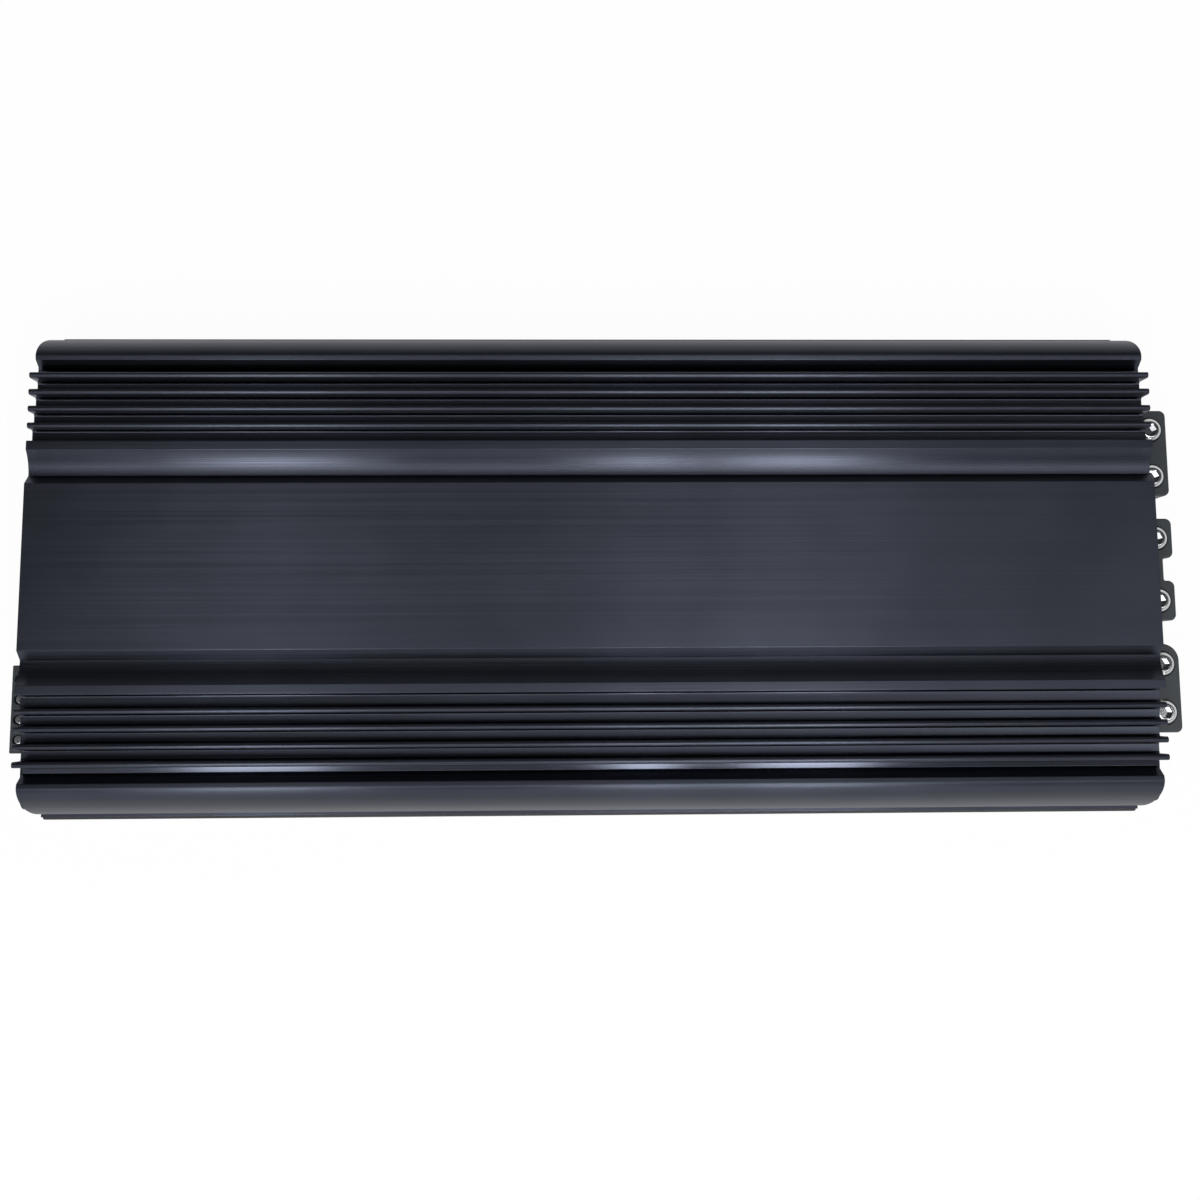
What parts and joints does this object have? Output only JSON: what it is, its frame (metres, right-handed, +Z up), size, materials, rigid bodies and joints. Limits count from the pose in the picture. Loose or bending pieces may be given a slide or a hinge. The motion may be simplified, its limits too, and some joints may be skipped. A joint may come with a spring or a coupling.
{
  "type": "car amplifier",
  "caption": "Long finned heatsink amplifier for a vehicle, with screw terminals for power and speaker cables at one end and signal inputs and controls at the other.",
  "frame": {"origin": "centre of the bottom plate's underside", "axes": "+X along the amplifier towards the power terminals, +Y across it, +Z up from the mounting surface to the fin tips"},
  "size_m": [0.5595, 0.2374, 0.048],
  "materials": {
    "heatsink": "dark blue-grey anodised extrusion, fine lengthwise brushing",
    "bottom_plate": "black coated steel sheet",
    "end_plates": "black anodised sheet",
    "plate_screws": "black zinc",
    "terminal_plastic": "moulded dark grey",
    "terminal_metal": "nickel plated",
    "chrome_screws": "bright plated",
    "jack_metal": "nickel plated",
    "black_plastic": "moulded black",
    "lamp_lens": "clear blue lens",
    "circuit_boards": "green solder mask",
    "windings": "enamelled copper wire on a ring core",
    "capacitors": "black sleeve",
    "clamp_bars": "plain milled"
  },
  "bodies": {
    "chassis": {"heatsink_body": "heatsink", "bottom_plate": "bottom_plate", "input_end_plate": "end_plates", "power_end_plate": "end_plates", "input_plate_screw_1": "plate_screws", "input_plate_screw_2": "plate_screws", "input_plate_screw_3": "plate_screws", "input_plate_screw_4": "plate_screws", "power_plate_screw_1": "plate_screws", "power_plate_screw_2": "plate_screws", "power_plate_screw_3": "plate_screws", "power_plate_screw_4": "plate_screws", "bottom_plate_screw_1": "plate_screws", "bottom_plate_screw_2": "plate_screws", "bottom_plate_screw_3": "plate_screws", "bottom_plate_screw_4": "plate_screws", "power_terminal_housing": "terminal_plastic", "speaker_terminal_housing": "terminal_plastic", "ground_terminal_housing": "terminal_plastic", "power_terminal_bar": "terminal_metal", "ground_terminal_bar": "terminal_metal", "speaker_terminal_bar_1": "terminal_metal", "speaker_terminal_bar_2": "terminal_metal", "input_terminal_block": "terminal_plastic", "signal_jack_housing": "black_plastic", "signal_jack_sleeve_1": "jack_metal", "signal_jack_sleeve_2": "jack_metal", "remote_jack": "black_plastic", "power_lamp": "lamp_lens", "main_board": "circuit_boards", "control_board": "circuit_boards", "power_transformer_1": "windings", "power_transformer_2": "windings", "output_inductor": "windings", "supply_capacitor_1": "capacitors", "supply_capacitor_2": "capacitors", "supply_capacitor_3": "capacitors", "transistor_clamp_bar_1": "clamp_bars", "transistor_clamp_bar_2": "clamp_bars"},
    "power_clamp_pad_1": {"power_clamp_pad_1": "terminal_metal"},
    "power_set_screw_1": {"power_set_screw_1": "chrome_screws"},
    "power_clamp_pad_2": {"power_clamp_pad_2": "terminal_metal"},
    "power_set_screw_2": {"power_set_screw_2": "chrome_screws"},
    "speaker_clamp_pad_1": {"speaker_clamp_pad_1": "terminal_metal"},
    "speaker_set_screw_1": {"speaker_set_screw_1": "chrome_screws"},
    "speaker_clamp_pad_2": {"speaker_clamp_pad_2": "terminal_metal"},
    "speaker_set_screw_2": {"speaker_set_screw_2": "chrome_screws"},
    "ground_clamp_pad_1": {"ground_clamp_pad_1": "terminal_metal"},
    "ground_set_screw_1": {"ground_set_screw_1": "chrome_screws"},
    "ground_clamp_pad_2": {"ground_clamp_pad_2": "terminal_metal"},
    "ground_set_screw_2": {"ground_set_screw_2": "chrome_screws"},
    "input_terminal_screw_1": {"input_terminal_screw_1": "chrome_screws"},
    "input_terminal_screw_2": {"input_terminal_screw_2": "chrome_screws"},
    "input_terminal_screw_3": {"input_terminal_screw_3": "chrome_screws"},
    "input_terminal_screw_4": {"input_terminal_screw_4": "chrome_screws"},
    "gain_control": {"gain_control": "black_plastic"},
    "low_pass_control": {"low_pass_control": "black_plastic"},
    "subsonic_control": {"subsonic_control": "black_plastic"},
    "bass_boost_control": {"bass_boost_control": "black_plastic"},
    "phase_switch_slider": {"phase_switch_slider": "black_plastic"}
  },
  "joints": [
    {"name": "power_clamp_pad_1_slide", "type": "slide", "parent": "chassis", "child": "power_clamp_pad_1", "axis": [0, 0, -1], "range_m": [-0.00125, 0.00312]},
    {"name": "power_set_screw_1_turn", "type": "hinge", "parent": "power_clamp_pad_1", "child": "power_set_screw_1", "pos_m": [0.2741, 0.06735, 0.0287], "axis": [0, 0, -1], "range_deg": [-360, 900]},
    {"name": "power_clamp_pad_2_slide", "type": "slide", "parent": "chassis", "child": "power_clamp_pad_2", "axis": [0, 0, -1], "range_m": [-0.00125, 0.00312]},
    {"name": "power_set_screw_2_turn", "type": "hinge", "parent": "power_clamp_pad_2", "child": "power_set_screw_2", "pos_m": [0.2741, 0.04425, 0.0287], "axis": [0, 0, -1], "range_deg": [-360, 900]},
    {"name": "speaker_clamp_pad_1_slide", "type": "slide", "parent": "chassis", "child": "speaker_clamp_pad_1", "axis": [0, 0, -1], "range_m": [-0.00125, 0.00312]},
    {"name": "speaker_set_screw_1_turn", "type": "hinge", "parent": "speaker_clamp_pad_1", "child": "speaker_set_screw_1", "pos_m": [0.2741, 0.0137, 0.0287], "axis": [0, 0, -1], "range_deg": [-360, 900]},
    {"name": "speaker_clamp_pad_2_slide", "type": "slide", "parent": "chassis", "child": "speaker_clamp_pad_2", "axis": [0, 0, -1], "range_m": [-0.00125, 0.00312]},
    {"name": "speaker_set_screw_2_turn", "type": "hinge", "parent": "speaker_clamp_pad_2", "child": "speaker_set_screw_2", "pos_m": [0.2741, -0.0167, 0.0287], "axis": [0, 0, -1], "range_deg": [-360, 900]},
    {"name": "ground_clamp_pad_1_slide", "type": "slide", "parent": "chassis", "child": "ground_clamp_pad_1", "axis": [0, 0, -1], "range_m": [-0.00125, 0.00312]},
    {"name": "ground_set_screw_1_turn", "type": "hinge", "parent": "ground_clamp_pad_1", "child": "ground_set_screw_1", "pos_m": [0.2741, -0.04725, 0.0287], "axis": [0, 0, -1], "range_deg": [-360, 900]},
    {"name": "ground_clamp_pad_2_slide", "type": "slide", "parent": "chassis", "child": "ground_clamp_pad_2", "axis": [0, 0, -1], "range_m": [-0.00125, 0.00312]},
    {"name": "ground_set_screw_2_turn", "type": "hinge", "parent": "ground_clamp_pad_2", "child": "ground_set_screw_2", "pos_m": [0.2741, -0.07035, 0.0287], "axis": [0, 0, -1], "range_deg": [-360, 900]},
    {"name": "input_terminal_screw_1_turn", "type": "hinge", "parent": "chassis", "child": "input_terminal_screw_1", "pos_m": [-0.2733, -0.05145, 0.0215], "axis": [0, 0, -1], "range_deg": [-720, 720]},
    {"name": "input_terminal_screw_2_turn", "type": "hinge", "parent": "chassis", "child": "input_terminal_screw_2", "pos_m": [-0.2733, -0.06095, 0.0215], "axis": [0, 0, -1], "range_deg": [-720, 720]},
    {"name": "input_terminal_screw_3_turn", "type": "hinge", "parent": "chassis", "child": "input_terminal_screw_3", "pos_m": [-0.2733, -0.07045, 0.0215], "axis": [0, 0, -1], "range_deg": [-720, 720]},
    {"name": "input_terminal_screw_4_turn", "type": "hinge", "parent": "chassis", "child": "input_terminal_screw_4", "pos_m": [-0.2733, -0.07995, 0.0215], "axis": [0, 0, -1], "range_deg": [-720, 720]},
    {"name": "gain_control_turn", "type": "hinge", "parent": "chassis", "child": "gain_control", "pos_m": [-0.2682, 0.088, 0.0195], "axis": [-1, 0, 0], "range_deg": [-140, 140]},
    {"name": "low_pass_control_turn", "type": "hinge", "parent": "chassis", "child": "low_pass_control", "pos_m": [-0.2682, 0.074, 0.0195], "axis": [-1, 0, 0], "range_deg": [-140, 140]},
    {"name": "subsonic_control_turn", "type": "hinge", "parent": "chassis", "child": "subsonic_control", "pos_m": [-0.2682, 0.06, 0.0195], "axis": [-1, 0, 0], "range_deg": [-140, 140]},
    {"name": "bass_boost_control_turn", "type": "hinge", "parent": "chassis", "child": "bass_boost_control", "pos_m": [-0.2682, 0.046, 0.0195], "axis": [-1, 0, 0], "range_deg": [-140, 140]},
    {"name": "phase_switch_slide", "type": "slide", "parent": "chassis", "child": "phase_switch_slider", "axis": [0, 1, 0], "range_m": [-0.0015, 0.0015]}
  ],
  "couplings": [
    {"joint": "power_set_screw_1_turn", "follows": "power_clamp_pad_1_slide", "rad_per_m": 5026.5},
    {"joint": "power_set_screw_2_turn", "follows": "power_clamp_pad_2_slide", "rad_per_m": 5026.5},
    {"joint": "speaker_set_screw_1_turn", "follows": "speaker_clamp_pad_1_slide", "rad_per_m": 5026.5},
    {"joint": "speaker_set_screw_2_turn", "follows": "speaker_clamp_pad_2_slide", "rad_per_m": 5026.5},
    {"joint": "ground_set_screw_1_turn", "follows": "ground_clamp_pad_1_slide", "rad_per_m": 5026.5},
    {"joint": "ground_set_screw_2_turn", "follows": "ground_clamp_pad_2_slide", "rad_per_m": 5026.5}
  ]
}
